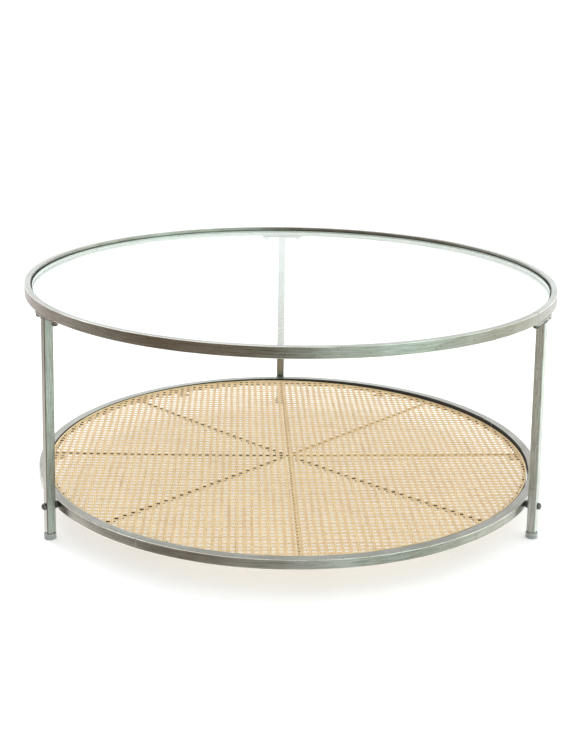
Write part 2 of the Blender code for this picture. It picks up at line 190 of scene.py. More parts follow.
def reach(node, direction):
    """How far a CAD node extends from the ring axis along a direction."""
    return max((v.co - RING_AXIS).dot(direction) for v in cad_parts[node].data.vertices)


def box_radius(node):
    """Half the width of a CAD node's box: the outer radius of a ring."""
    low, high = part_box(node)
    return (high.x - low.x) / 2


# ---------------------------------------------------------------- meshes


def new_object(name, data):
    """An object with the data given, in the scene."""
    made = bpy.data.objects.new(name, data)
    bpy.context.scene.collection.objects.link(made)
    return made


def make_object(name, points, faces, material):
    """A mesh object in the scene, with one material."""
    mesh = bpy.data.meshes.new(name)
    mesh.from_pydata(points, [], faces)
    mesh.materials.append(material)
    return new_object(name, mesh)


def smooth(piece, degrees=40.0):
    """Smooth shading that keeps the edges sharper than the angle."""
    piece.data.shade_smooth()
    piece.data.set_sharp_from_angle(angle=math.radians(degrees))
    modifier = piece.modifiers.new("even_normals", "WEIGHTED_NORMAL")
    modifier.keep_sharp = True


def add_piece(piece, body, slot, *nodes):
    """Puts a finished piece on its body, in place of the CAD nodes given."""
    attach(piece, body)
    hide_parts(*nodes)


def apply_modifiers(piece):
    """Turns a piece's modifiers into plain mesh."""
    graph = bpy.context.evaluated_depsgraph_get()
    mesh = bpy.data.meshes.new_from_object(piece.evaluated_get(graph))
    piece.modifiers.clear()
    piece.data = mesh


def cut(piece, cutters):
    """Takes the cutters out of a piece."""
    for cutter in cutters:
        modifier = piece.modifiers.new("cut", "BOOLEAN")
        modifier.operation = "DIFFERENCE"
        modifier.solver = "EXACT"
        modifier.object = cutter
    apply_modifiers(piece)
    for cutter in cutters:
        bpy.data.objects.remove(cutter)


def rounded_outline(inner, outer, bottom, top, radius, arc_steps=3):
    """Closed (radius, height) outline of a box with rounded corners."""
    corners = [
        (outer - radius, bottom + radius, -90.0),
        (outer - radius, top - radius, 0.0),
        (inner + radius, top - radius, 90.0),
        (inner + radius, bottom + radius, 180.0),
    ]
    outline = []
    for r, z, start in corners:
        for k in range(arc_steps + 1):
            angle = math.radians(start + 90.0 * k / arc_steps)
            outline.append((r + radius * math.cos(angle), z + radius * math.sin(angle)))
    return outline


def outline_normals(outline):
    """Outward unit normals of a closed outline that runs anticlockwise."""
    normals = []
    for k, _ in enumerate(outline):
        before = Vector(outline[k - 1])
        after = Vector(outline[(k + 1) % len(outline)])
        along = (after - before).normalized()
        normals.append((along.y, -along.x))
    return normals


def tube_faces(rows, count, start=0, closed=True):
    """Quads round a tube made of rows of count points, its ends joined where closed."""
    faces = []
    for a in range(rows if closed else rows - 1):
        b = (a + 1) % rows
        for k in range(count):
            m = (k + 1) % count
            faces.append((start + a * count + k, start + b * count + k,
                          start + b * count + m, start + a * count + m))
    return faces


def lathe_ring(name, centre, outlines, material, out_of_true=0.0, steps=RING_STEPS):
    """Sweeps closed outlines round an axis. The first is the outer skin, others are hollows."""
    points, faces = [], []
    angles = [2 * math.pi * k / steps for k in range(steps)]
    for number, outline in enumerate(outlines):
        skin = tube_faces(steps, len(outline), start=len(points))
        faces += skin if number == 0 else [face[::-1] for face in skin]
        for angle in angles:
            dent = abs(math.sin(3 * angle + 0.7) + math.sin(7 * angle)) * out_of_true
            for r, z in outline:
                away = r - dent
                points.append((centre.x + away * math.cos(angle), centre.y + away * math.sin(angle), z))
    return make_object(name, points, faces, material)


def lathe_solid(name, outline, material, steps=SMALL_STEPS):
    """Turns an open (radius, height) outline that starts and ends on the Z axis."""
    points, faces, rows = [], [], []
    for r, z in outline:
        if r == 0.0:
            rows.append([len(points)] * steps)
            points.append((0.0, 0.0, z))
            continue
        rows.append(list(range(len(points), len(points) + steps)))
        for k in range(steps):
            angle = 2 * math.pi * k / steps
            points.append((r * math.cos(angle), r * math.sin(angle), z))
    for low, high in zip(rows, rows[1:]):
        for k in range(steps):
            m = (k + 1) % steps
            loop = [low[k], low[m], high[m], high[k]]
            faces.append(list(dict.fromkeys(loop)))
    return make_object(name, points, faces, material)


def stand(piece, place, axis=UP):
    """Moves a piece made at the origin so that its Z axis points along the axis given."""
    turn = axis.to_track_quat("Z", "X").to_matrix().to_4x4()
    piece.data.transform(Matrix.Translation(place) @ turn)


def arc(centre_r, centre_z, radius, start, end, steps):
    """Points of a round stretch of an outline, angles in degrees."""
    angles = [math.radians(start + (end - start) * k / steps) for k in range(steps + 1)]
    return [(centre_r + radius * math.cos(a), centre_z + radius * math.sin(a)) for a in angles]


def refined(name, node, material, bevel=0.0, cuts=0):
    """A copy of a CAD node's mesh, welded into one skin, with softened edges.

    With cuts, its long edges are divided so that it can bend.
    """
    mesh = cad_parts[node].data.copy()
    mesh.name = name
    mesh.materials.clear()
    mesh.materials.append(material)
    work = bmesh.new()
    work.from_mesh(mesh)
    bmesh.ops.remove_doubles(work, verts=work.verts, dist=1e-6)
    bmesh.ops.dissolve_limit(
        work, angle_limit=math.radians(0.5), verts=work.verts, edges=work.edges
    )
    if cuts:
        long_edges = [edge for edge in work.edges if edge.calc_length() > LONG_EDGE]
        bmesh.ops.subdivide_edges(work, edges=long_edges, cuts=cuts, use_grid_fill=True)
    work.to_mesh(mesh)
    work.free()
    piece = new_object(name, mesh)
    if bevel:
        modifier = piece.modifiers.new("soft_edges", "BEVEL")
        modifier.width = bevel
        modifier.segments = 2
        modifier.limit_method = "ANGLE"
        modifier.angle_limit = math.radians(50)
        apply_modifiers(piece)
    return piece


# ---------------------------------------------------------------- materials


class Paint:
    """A Principled material and short calls for the nodes behind it."""

    def __init__(self, name, colour, roughness, metallic=0.0):
        self.material = bpy.data.materials.new(name)
        self.material.use_nodes = True
        self.tree = self.material.node_tree
        self.bsdf = self.tree.nodes["Principled BSDF"]
        self.output = self.tree.nodes["Material Output"]
        self.set("Base Color", (*colour, 1.0))
        self.set("Roughness", roughness)
        self.set("Metallic", metallic)

    def set(self, socket, value):
        self.bsdf.inputs[socket].default_value = value

    def link(self, source, target):
        self.tree.links.new(source, target)

    def feed(self, source, socket):
        """Drives a socket of the Principled shader."""
        self.link(source, self.bsdf.inputs[socket])

    def math(self, operation, first, second=0.0):
        """One Math node on sockets or numbers."""
        node = self.tree.nodes.new("ShaderNodeMath")
        node.operation = operation
        for socket, value in zip(node.inputs, (first, second)):
            if isinstance(value, (int, float)):
                socket.default_value = value
            else:
                self.link(value, socket)
        return node.outputs[0]

    def place(self):
        """The object's own coordinates, split in x, y and z."""
        coordinates = self.tree.nodes.new("ShaderNodeTexCoord")
        split = self.tree.nodes.new("ShaderNodeSeparateXYZ")
        self.link(coordinates.outputs["Object"], split.inputs[0])
        return split.outputs

    def vector(self, x, y, z):
        join = self.tree.nodes.new("ShaderNodeCombineXYZ")
        for socket, value in zip(join.inputs, (x, y, z)):
            self.link(value, socket)
        return join.outputs[0]

    def scaled(self, scale_x, scale_y, scale_z):
        """The object's coordinates, stretched along its axes."""
        scales = (scale_x, scale_y, scale_z)
        return self.vector(*[self.math("MULTIPLY", c, k) for c, k in zip(self.place(), scales)])

    def noise(self, vector, detail=3.0, rough=0.5, w=None):
        """Noise over a scaled place, with a fourth coordinate where w is given."""
        node = self.tree.nodes.new("ShaderNodeTexNoise")
        node.noise_dimensions = "3D" if w is None else "4D"
        self.link(vector, node.inputs["Vector"])
        if w is not None:
            self.link(w, node.inputs["W"])
        node.inputs["Scale"].default_value = 1.0
        node.inputs["Detail"].default_value = detail
        node.inputs["Roughness"].default_value = rough
        return node.outputs["Fac"]

    def ramp(self, amount, stops):
        """A colour ramp: stops are (position, colour)."""
        node = self.tree.nodes.new("ShaderNodeValToRGB")
        marks = node.color_ramp.elements
        while len(marks) < len(stops):
            marks.new(0.5)
        for mark, (position, colour) in zip(marks, stops):
            mark.position = position
            mark.color = (*colour, 1.0)
        self.link(amount, node.inputs[0])
        return node.outputs[0]

    def spread(self, amount, low, high):
        """Maps a noise's usual range to another range."""
        node = self.tree.nodes.new("ShaderNodeMapRange")
        self.link(amount, node.inputs["Value"])
        for socket, value in (("From Min", 0.3), ("From Max", 0.7), ("To Min", low), ("To Max", high)):
            node.inputs[socket].default_value = value
        return node.outputs[0]

    def multiply(self, first, second):
        """Two colours multiplied."""
        node = self.tree.nodes.new("ShaderNodeMix")
        node.data_type = "RGBA"
        node.blend_type = "MULTIPLY"
        node.inputs["Factor"].default_value = 1.0
        self.link(first, node.inputs[6])
        self.link(second, node.inputs[7])
        return node.outputs[2]

    def bump(self, height, distance, strength, under=None):
        """A bumped normal, laid over another one where under is given."""
        node = self.tree.nodes.new("ShaderNodeBump")
        node.inputs["Strength"].default_value = strength
        node.inputs["Distance"].default_value = distance
        self.link(height, node.inputs["Height"])
        if under is not None:
            self.link(under, node.inputs["Normal"])
        return node.outputs[0]


def brushed_metal(name, dark, light, roughness, ring_axis=None, metallic=1.0):
    """Zinc-grey steel brushed along the tube, with cloudy patches of patina.

    The brushing runs round the ring axis where one is given, and upright elsewhere.
    """
    paint = Paint(name, light, roughness, metallic=metallic)
    paint.set("Coat Weight", 0.6)
    paint.set("Coat Roughness", 0.16)
    x, y, z = paint.place()
    if ring_axis is not None:
        away_x = paint.math("SUBTRACT", x, ring_axis.x)
        away_y = paint.math("SUBTRACT", y, ring_axis.y)
        squares = paint.math(
            "ADD", paint.math("MULTIPLY", away_x, away_x), paint.math("MULTIPLY", away_y, away_y)
        )
        radius = paint.math("SQRT", squares)
        fine = paint.vector(
            paint.math("MULTIPLY", radius, BRUSH_ACROSS),
            paint.math("MULTIPLY", z, BRUSH_ACROSS),
            paint.math("MULTIPLY", away_x, BRUSH_ALONG),
        )
        streaks = paint.noise(fine, detail=2.0, w=paint.math("MULTIPLY", away_y, BRUSH_ALONG))
    else:
        streaks = paint.noise(paint.scaled(BRUSH_ACROSS, BRUSH_ACROSS, BRUSH_ALONG), detail=2.0)
    clouds = paint.noise(paint.scaled(9.0, 9.0, 9.0), detail=4.0, rough=0.55)
    specks = paint.noise(paint.scaled(260.0, 260.0, 260.0), detail=3.0, rough=0.6)
    tone = paint.ramp(clouds, [(0.34, dark), (0.66, light)])
    worn = paint.ramp(
        streaks, [(0.3, (0.66, 0.64, 0.60)), (0.5, (0.98, 0.97, 0.95)), (0.7, (1.28, 1.28, 1.26))]
    )
    spots = paint.ramp(specks, [(0.30, (0.62, 0.58, 0.50)), (0.40, (1.0, 1.0, 1.0))])
    paint.feed(paint.multiply(paint.multiply(tone, worn), spots), "Base Color")
    brushing = paint.spread(streaks, -0.06, 0.07)
    patina = paint.spread(clouds, roughness + 0.05, roughness - 0.05)
    paint.feed(paint.math("ADD", brushing, patina), "Roughness")
    rough_normal = paint.bump(streaks, 0.00006, 0.6)
    paint.feed(paint.bump(clouds, 0.0006, 0.25, under=rough_normal), "Normal")
    return paint.material


def screw_metal():
    """Dark plated steel with turning marks."""
    paint = Paint("screw_steel_plated", (0.11, 0.11, 0.105), 0.3, metallic=1.0)
    grain = paint.noise(paint.scaled(900.0, 900.0, 900.0), detail=3.0)
    paint.feed(paint.ramp(grain, [(0.3, (0.05, 0.05, 0.047)), (0.7, (0.17, 0.17, 0.16))]), "Base Color")
    paint.feed(paint.spread(grain, 0.22, 0.42), "Roughness")
    paint.feed(paint.bump(grain, 0.00008, 0.4), "Normal")
    return paint.material


def weld_metal():
    """Rippled, heat-tinted weld metal under the same lacquer."""
    paint = Paint("weld_zinc", (0.5, 0.5, 0.47), 0.35, metallic=1.0)
    ripples = paint.noise(paint.scaled(700.0, 700.0, 700.0), detail=3.0)
    tone = paint.ramp(
        ripples, [(0.3, (0.16, 0.15, 0.13)), (0.5, (0.30, 0.30, 0.27)), (0.7, (0.42, 0.43, 0.40))]
    )
    paint.feed(tone, "Base Color")
    paint.feed(paint.spread(ripples, 0.25, 0.5), "Roughness")
    paint.feed(paint.bump(ripples, 0.0004, 0.7), "Normal")
    return paint.material


def see_through(name, tint, roughness, grazing, head_on):
    """Thin clear material: transparent, with a reflection that grows at a grazing angle."""
    paint = Paint(name, (1.0, 1.0, 1.0), roughness, metallic=1.0)
    clear = paint.tree.nodes.new("ShaderNodeBsdfTransparent")
    clear.inputs["Color"].default_value = (*tint, 1.0)
    facing = paint.tree.nodes.new("ShaderNodeLayerWeight")
    facing.inputs["Blend"].default_value = 0.5
    edge_on = paint.math("POWER", facing.outputs["Facing"], 5.0)
    amount = paint.math("ADD", paint.math("MULTIPLY", edge_on, grazing - head_on), head_on)
    mix = paint.tree.nodes.new("ShaderNodeMixShader")
    paint.link(amount, mix.inputs[0])
    paint.link(clear.outputs[0], mix.inputs[1])
    paint.link(paint.bsdf.outputs[0], mix.inputs[2])
    paint.link(mix.outputs[0], paint.output.inputs["Surface"])
    return paint


def glass_material():
    """Clear float glass with faint smears in its gloss."""
    paint = see_through("clear_glass_float", (0.965, 0.985, 0.975), 0.02, 0.96, 0.04)
    smears = paint.noise(paint.scaled(14.0, 5.0, 5.0), detail=4.0, rough=0.6)
    paint.feed(paint.spread(smears, 0.008, 0.05), "Roughness")
    return paint.material


def glass_edge_material(name, dark, light):
    """Opaque colour for the glass's polished edge, with a fine grain: a dark copy paints the shade along
    its top and a pale copy paints the light below.
    """
    paint = Paint(name, light, 0.5)
    paint.set("Specular IOR Level", 0.12)
    grind = paint.noise(paint.scaled(60.0, 60.0, 900.0), detail=3.0)
    paint.feed(paint.ramp(grind, [(0.3, dark), (0.7, light)]), "Base Color")
    paint.feed(paint.spread(grind, 0.4, 0.6), "Roughness")
    return paint.material


def pad_material():
    """Soft clear plastic, slightly cloudy."""
    paint = see_through("clear_pad_soft", (0.93, 0.94, 0.93), 0.2, 0.8, 0.06)
    cloud = paint.noise(paint.scaled(500.0, 500.0, 500.0), detail=2.0)
    paint.feed(paint.spread(cloud, 0.15, 0.35), "Roughness")
    return paint.material


def cane_material(name, across):
    """Split cane whose fibres run along the strand, and every strand has its own tone.

    across is the axis, 0 or 1, that lies across the strands.
    """
    paint = Paint(name, (0.75, 0.55, 0.30), 0.45)
    paint.set("Specular IOR Level", 0.45)
    paint.set("Coat Weight", 0.12)
    paint.set("Coat Roughness", 0.3)

    def grain(fine, coarse, detail):
        scales = [fine if k == across else coarse for k in range(3)]
        return paint.noise(paint.scaled(*scales), detail=detail)

    fibres = grain(3000.0, 60.0, 3.0)
    strands = grain(650.0, 9.0, 2.0)
    joints = grain(500.0, 160.0, 2.0)
    tone = paint.ramp(
        strands,
        [(0.26, (0.60, 0.405, 0.215)), (0.42, (0.79, 0.59, 0.36)), (0.58, (0.86, 0.67, 0.425)),
         (0.75, (0.93, 0.78, 0.55))],
    )
    lines = paint.ramp(fibres, [(0.3, (0.80, 0.76, 0.68)), (0.62, (1.05, 1.05, 1.04))])
    marks = paint.ramp(joints, [(0.24, (0.55, 0.42, 0.26)), (0.32, (1.0, 1.0, 1.0))])
    paint.feed(paint.multiply(paint.multiply(tone, lines), marks), "Base Color")
    paint.feed(paint.spread(strands, 0.36, 0.56), "Roughness")
    paint.feed(paint.bump(fibres, 0.00008, 0.6), "Normal")
    return paint.material


def edging_material():
    """The cane strip round the panel, with cloudy tones and fine marks."""
    paint = Paint("cane_edging", (0.80, 0.62, 0.34), 0.42)
    paint.set("Coat Weight", 0.15)
    paint.set("Coat Roughness", 0.25)
    broad = paint.noise(paint.scaled(22.0, 22.0, 22.0), detail=4.0)
    fine = paint.noise(paint.scaled(320.0, 320.0, 900.0), detail=3.0)
    tone = paint.ramp(
        broad, [(0.3, (0.56, 0.39, 0.19)), (0.5, (0.70, 0.54, 0.31)), (0.7, (0.80, 0.66, 0.42))]
    )
    marks = paint.ramp(fine, [(0.3, (0.80, 0.74, 0.62)), (0.6, (1.04, 1.04, 1.02))])
    paint.feed(paint.multiply(tone, marks), "Base Color")
    paint.feed(paint.spread(fine, 0.32, 0.52), "Roughness")
    paint.feed(paint.bump(fine, 0.00015, 0.5), "Normal")
    return paint.material


def wood_material(name, dark, medium, light):
    """Dull, thin wood with open grain."""
    paint = Paint(name, medium, 0.8)
    paint.set("Specular IOR Level", 0.04)
    grain = paint.noise(paint.scaled(120.0, 120.0, 500.0), detail=5.0, rough=0.6)
    drift = paint.noise(paint.scaled(14.0, 14.0, 14.0), detail=2.0)
    tone = paint.ramp(grain, [(0.32, dark), (0.5, medium), (0.68, light)])
    shade = paint.ramp(drift, [(0.3, (0.8, 0.78, 0.74)), (0.7, (1.15, 1.12, 1.05))])
    paint.feed(paint.multiply(tone, shade), "Base Color")
    paint.feed(paint.spread(grain, 0.9, 0.7), "Roughness")
    paint.feed(paint.bump(grain, 0.0003, 0.5), "Normal")
    return paint.material


def matt_material(name, dark, light, roughness):
    """Dull plastic, or near-black steel standing in as painted shade, with an even grain and scuffs."""
    paint = Paint(name, light, roughness)
    grain = paint.noise(paint.scaled(1200.0, 1200.0, 1200.0), detail=2.0)
    scuffs = paint.noise(paint.scaled(90.0, 90.0, 200.0), detail=4.0)
    paint.feed(paint.ramp(scuffs, [(0.35, dark), (0.65, light)]), "Base Color")
    paint.feed(paint.spread(scuffs, roughness - 0.07, roughness + 0.08), "Roughness")
    paint.feed(paint.bump(grain, 0.00006, 0.5), "Normal")
    return paint.material


# ---------------------------------------------------------------- frame pieces


def hole_cutter(place, axis, radius, half_length):
    """A rod that cuts a round hole."""
    outline = [(0.0, -half_length), (radius, -half_length), (radius, half_length), (0.0, half_length)]
    rod = lathe_solid("cutter", outline, metal_ring, steps=24)
    stand(rod, place, axis)
    return rod


def add_seams(node, width, seams):
    """Ground-down butt welds: a thin proud band round a ring's tube at each heading given."""
    low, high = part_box(node)
    outer = box_radius(node)
    outline = rounded_outline(outer - width, outer, low.z, high.z, EDGE_RADIUS)
    normals = outline_normals(outline)
    for number, seam in enumerate(seams):
        points = []
        for step in range(SEAM_STEPS + 1):
            share = 2 * step / SEAM_STEPS - 1
            angle = math.radians(seam) + share * SEAM_WIDTH / outer
            lift = SEAM_HEIGHT * (1 - share**4) - SEAM_SINK
            for k, ((r, z), (nr, nz)) in enumerate(zip(outline, normals)):
                ripple = 1 + 0.25 * math.sin(2.3 * k + 1.7 * step)
                away, up = r + nr * lift * ripple, z + nz * lift * ripple
                points.append((RING_AXIS.x + away * math.cos(angle),
                               RING_AXIS.y + away * math.sin(angle), up))
        count = len(outline)
        faces = tube_faces(SEAM_STEPS + 1, count, closed=False)
        faces.append(tuple(range(count)))
        faces.append(tuple(reversed(range(SEAM_STEPS * count, (SEAM_STEPS + 1) * count))))
        band = make_object(f"{node}_weld_{number + 1}", points, faces, metal_weld)
        band.data.shade_smooth()
        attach(band, FRAME_BODY)


def paint_edge_highlights(ring, outer):
    """Painted highlight: brighter, glossier metal on the two rounded outer edges of a ring, where
    highlight lines fall.
    """
    ring.data.materials.append(metal_edge_highlight)
    worn = len(ring.data.materials) - 1
    for face in ring.data.polygons:
        away = face.center - RING_AXIS
        away.z = 0.0
        rounded = 0.2 < abs(face.normal.z) < 0.98
        if away.length > outer - 2 * EDGE_RADIUS and face.normal.dot(away) > 0 and rounded:
            face.material_index = worn


def add_square_ring(node, width, cutters, inner_wall=None):
    """A ring of hollow square tube with holes. Its inner wall may have a material of its own."""
    low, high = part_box(node)
    outer = box_radius(node)
    skin = rounded_outline(outer - width, outer, low.z, high.z, EDGE_RADIUS)
    hollow = rounded_outline(
        outer - width + TUBE_WALL, outer - TUBE_WALL, low.z + TUBE_WALL, high.z - TUBE_WALL,
        EDGE_RADIUS / 3, 1,
    )
    ring = lathe_ring(
        f"{node}_tube", RING_AXIS, [skin, hollow], metal_ring, out_of_true=RING_OUT_OF_TRUE
    )
    cut(ring, cutters)
    # Painted shade: the inner wall gets a near-black material of its own, for the shade under the table.
    if inner_wall is not None:
        ring.data.materials.append(inner_wall)
        for face in ring.data.polygons:
            away = (face.center - RING_AXIS).xy
            if away.length < outer - width + EDGE_RADIUS * 0.6 and face.normal.xy.dot(away) < 0:
                face.material_index = 1
    paint_edge_highlights(ring, outer)
    smooth(ring)
    add_piece(ring, FRAME_BODY, "zinc_steel", node)


def add_top_ring():
    """The ring round the glass, drilled from below for the plate screws."""
    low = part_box("top_ring")[0].z
    depth = (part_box("plate_screw_back_1")[1].z - low) * 0.9
    holes = []
    for leg in LEGS:
        for number in (1, 2):
            place = middle(f"plate_screw_{leg}_{number}")
            place.z = low
            holes.append(hole_cutter(place, UP, SHANK_HOLE, depth))
    add_square_ring("top_ring", TOP_TUBE_WIDTH, holes)
    add_seams("top_ring", TOP_TUBE_WIDTH, TOP_RING_SEAMS)


def add_lower_ring():
    """The ring round the shelf: drilled for the rivet nuts, its inner wall coloured near-black as
    painted shade.
    """
    low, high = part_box("lower_ring")
    side = high.z - low.z
    holes = []
    for leg, angle in LEGS.items():
        place = RING_AXIS + outward(angle) * box_radius("lower_ring")
        place.z = middle(f"rivet_nut_{leg}").z
        holes.append(hole_cutter(place, outward(angle), NUT_HOLE, TUBE_WALL * 3))
    add_square_ring("lower_ring", side, holes, metal_inner_painted_shade)
    add_seams("lower_ring", side, LOWER_RING_SEAMS)


def add_ledge():
    """The flat strip inside the top ring that carries the glass. Its steel is made far lighter than the
    ring's, as painted light.
    """
    low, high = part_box("glass_ledge")
    outer = box_radius("glass_ledge")
    outline = rounded_outline(outer - LEDGE_WIDTH, outer, low.z, high.z, EDGE_RADIUS / 2, 2)
    ledge = lathe_ring("glass_ledge_strip", RING_AXIS, [outline], metal_ledge_painted_light)
    smooth(ledge)
    add_piece(ledge, FRAME_BODY, "zinc_steel", "glass_ledge")


def add_leg(leg, angle):
    """The square tube, its plate under the ring and the weld that joins them."""
    tube = refined(f"leg_tube_{leg}", f"leg_{leg}", leg_metals_painted_light[leg])
    smooth(tube, 35.0)
    add_piece(tube, FRAME_BODY, "zinc_steel", f"leg_{leg}")
    plate = refined(f"leg_plate_{leg}_steel", f"leg_plate_{leg}", metal_leg, bevel=SHEET_BEVEL)
    smooth(plate)
    add_piece(plate, FRAME_BODY, "zinc_steel", f"leg_plate_{leg}")
    add_leg_weld(leg, angle)


def add_leg_weld(leg, angle):
    """A lumpy fillet bead round the top of a leg."""
    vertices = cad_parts[f"leg_{leg}"].data.vertices
    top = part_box(f"leg_{leg}")[1].z
    near_top = [v.co for v in vertices if v.co.z > top - 0.001]
    centre = sum(near_top, Vector()) / len(near_top)
    out = outward(angle)
    side = Vector((-out.y, out.x, 0.0))
    half = LEG_SIDE / 2 - LEG_CORNER
    loop = []
    for number, corner in enumerate(((1, 1), (-1, 1), (-1, -1), (1, -1))):
        for k in range(5):
            turn = math.radians(90.0 * (number + k / 4))
            face = Vector((math.cos(turn), math.sin(turn)))
            loop.append((half * Vector(corner) + LEG_CORNER * face, face))
    path = []
    for (here, face), (after, face_after) in zip(loop, loop[1:] + loop[:1]):
        for k in range(6):
            path.append((here.lerp(after, k / 6), face.lerp(face_after, k / 6).normalized()))
    section = [2 * math.pi * k / WELD_STEPS for k in range(WELD_STEPS)]
    points = []
    for number, (away, face) in enumerate(path):
        lump = WELD_RADIUS * (1 + 0.16 * math.sin(number * 1.9) + 0.08 * math.sin(number * 0.83 + angle))
        for turn in section:
            reach_out = lump * math.cos(turn)
            points.append(tuple(
                centre + out * (away.x + face.x * reach_out) + side * (away.y + face.y * reach_out)
                + UP * (top - centre.z + lump * 0.75 * math.sin(turn) - WELD_SINK)
            ))
    faces = tube_faces(len(path), WELD_STEPS)
    weld = make_object(f"leg_weld_{leg}", points, faces, metal_weld)
    weld.data.shade_smooth()
    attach(weld, FRAME_BODY)


def screw(name, seat, axis, shank_radius, shank_length):
    """A button-head screw with a hex socket. The axis points from the seat to the head."""
    dome = HEAD_HEIGHT - HEAD_RIM
    outline = [(0.0, HEAD_HEIGHT)]
    for k in range(9):
        share = k / 8
        r = HEAD_FLAT + (HEAD_RADIUS - HEAD_FLAT) * math.sin(share * math.pi / 2)
        outline.append((r, HEAD_RIM + dome * math.cos(share * math.pi / 2)))
    outline += [(HEAD_RADIUS, HEAD_CHAMFER), (HEAD_RADIUS - HEAD_CHAMFER, 0.0), (shank_radius, 0.0)]
    for k in range(int(shank_length / THREAD_PITCH) - 1):
        depth = -THREAD_PITCH * (k + 1)
        outline.append((shank_radius, depth + THREAD_PITCH / 2))
        outline.append((shank_radius - THREAD_DEPTH, depth))
    outline += [(shank_radius, THREAD_DEPTH - shank_length), (shank_radius - 0.0004, -shank_length),
                (0.0, -shank_length)]
    piece = lathe_solid(name, outline[::-1], metal_screw)
    socket = [(0.0, HEAD_HEIGHT - SOCKET_DEPTH), (SOCKET_RADIUS, HEAD_HEIGHT - SOCKET_DEPTH),
              (SOCKET_RADIUS, HEAD_HEIGHT * 1.5), (0.0, HEAD_HEIGHT * 1.5)]
    cut(piece, [lathe_solid("socket_cutter", socket, metal_screw, steps=6)])
    stand(piece, seat, axis)
    smooth(piece, 35.0)
    return piece


def add_screws(leg, angle):
    """Two screws up through a leg's plate, and the bolt through the leg into the lower ring."""
    for number in (1, 2):
        node = f"plate_screw_{leg}_{number}"
        low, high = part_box(node)
        seat = middle(node)
        seat.z = low.z + HEAD_HEIGHT
        piece = screw(f"{node}_steel", seat, -UP, PLATE_SHANK, high.z - seat.z)
        add_piece(piece, FRAME_BODY, "screw_steel", node)
    node = f"shelf_bolt_{leg}"
    out = outward(angle)
    tip = reach(node, out)
    seat = RING_AXIS + out * (tip - HEAD_HEIGHT)
    seat.z = middle(node).z
    length = tip - HEAD_HEIGHT + reach(node, -out)
    piece = screw(f"{node}_steel", seat, out, BOLT_SHANK, length)
    add_piece(piece, FRAME_BODY, "screw_steel", node)


def add_bolt_parts(leg, angle):
    """The spacer between leg and lower ring, and the rivet nut in the ring."""
    node = f"spacer_{leg}"
    out = outward(angle)
    far, near = reach(node, out), -reach(node, -out)
    length = far - near
    outline = rounded_outline(SPACER_BORE, SPACER_RADIUS, 0.0, length, SPACER_EDGE, 2)
    spacer = lathe_ring(f"{node}_sleeve", Vector(), [outline], plastic_spacer, steps=SMALL_STEPS)
    place = RING_AXIS + out * near
    place.z = middle(node).z
    stand(spacer, place, out)
    smooth(spacer)
    add_piece(spacer, FRAME_BODY, "spacer_plastic", node)
    nut = refined(f"rivet_nut_{leg}_steel", f"rivet_nut_{leg}", metal_screw)
    smooth(nut)
    add_piece(nut, FRAME_BODY, "screw_steel", f"rivet_nut_{leg}")


def add_foot(leg):
    """A moulded glide: cap, neck and the stem inside the leg."""
    node = f"foot_{leg}"
    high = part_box(node)[1].z
    neck_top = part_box(f"leg_{leg}")[0].z
    sole, rim = FOOT_SOLE_RADIUS, FOOT_RIM_RADIUS
    outline = [(0.0, FOOT_HOLLOW), (FOOT_RADIUS * 0.6, FOOT_HOLLOW), (FOOT_RADIUS * 0.66, 0.0)]
    outline += arc(FOOT_RADIUS - sole, sole, sole, -90, 0, 5)
    outline += arc(FOOT_RADIUS - FOOT_DRAFT - rim, FOOT_HEIGHT - rim, rim, 0, 90, 5)
    outline += [(FOOT_NECK, FOOT_HEIGHT), (FOOT_NECK, neck_top), (FOOT_STEM, neck_top)]
    for k in range(FOOT_RIBS):
        base = neck_top + (high - neck_top) * (k + 0.35) / FOOT_RIBS
        outline += [(FOOT_STEM - 0.0005, base), (FOOT_STEM, base + 0.0009), (FOOT_STEM, base + 0.0013)]
    outline += [(FOOT_STEM - 0.0008, high), (0.0, high)]
    foot = lathe_solid(f"{node}_glide", outline, plastic_foot)
    place = middle(node)
    place.z = 0.0
    stand(foot, place)
    smooth(foot, 35.0)
    add_piece(foot, FRAME_BODY, "foot_plastic", node)


def add_tabs():
    """The tabs inside the lower ring that carry the shelf panel."""
    for number in range(1, 7):
        node = f"shelf_tab_{number}"
        tab = refined(f"{node}_steel", node, metal_leg, bevel=SHEET_BEVEL)
        smooth(tab)
        add_piece(tab, FRAME_BODY, "zinc_steel", node)


# ---------------------------------------------------------------- glass


def add_glass():
    """The pane. Its polished edge is coloured dark along the top as painted shade, and pale below as
    painted light.
    """
    low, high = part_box("glass_top")
    radius = box_radius("glass_top")
    polish = (high.z - low.z) * 0.3
    outline = [(0.0, low.z), (radius - polish * 2.5, low.z)]
    outline += arc(radius - polish, low.z + polish, polish, -90, 0, 5)
    outline += arc(radius - polish, high.z - polish, polish, 0, 90, 5)
    outline += [(radius - polish * 2.5, high.z), (0.0, high.z)]
    glass = lathe_solid("glass_disc", outline, clear_glass, steps=RING_STEPS)
    glass.data.materials.append(glass_edge_painted_shade)
    glass.data.materials.append(glass_edge_painted_light)
    for face in glass.data.polygons:
        reach_out = max(glass.data.vertices[v].co.xy.length for v in face.vertices)
        if reach_out > radius - polish * 0.8:
            # Painted shade on the top of the edge, painted light on the rest of it.
            face.material_index = 1 if face.center.z > high.z - polish else 2
    glass.data.transform(Matrix.Translation(RING_AXIS))
    smooth(glass)
    add_piece(glass, GLASS_BODY, "clear_glass", "glass_top")


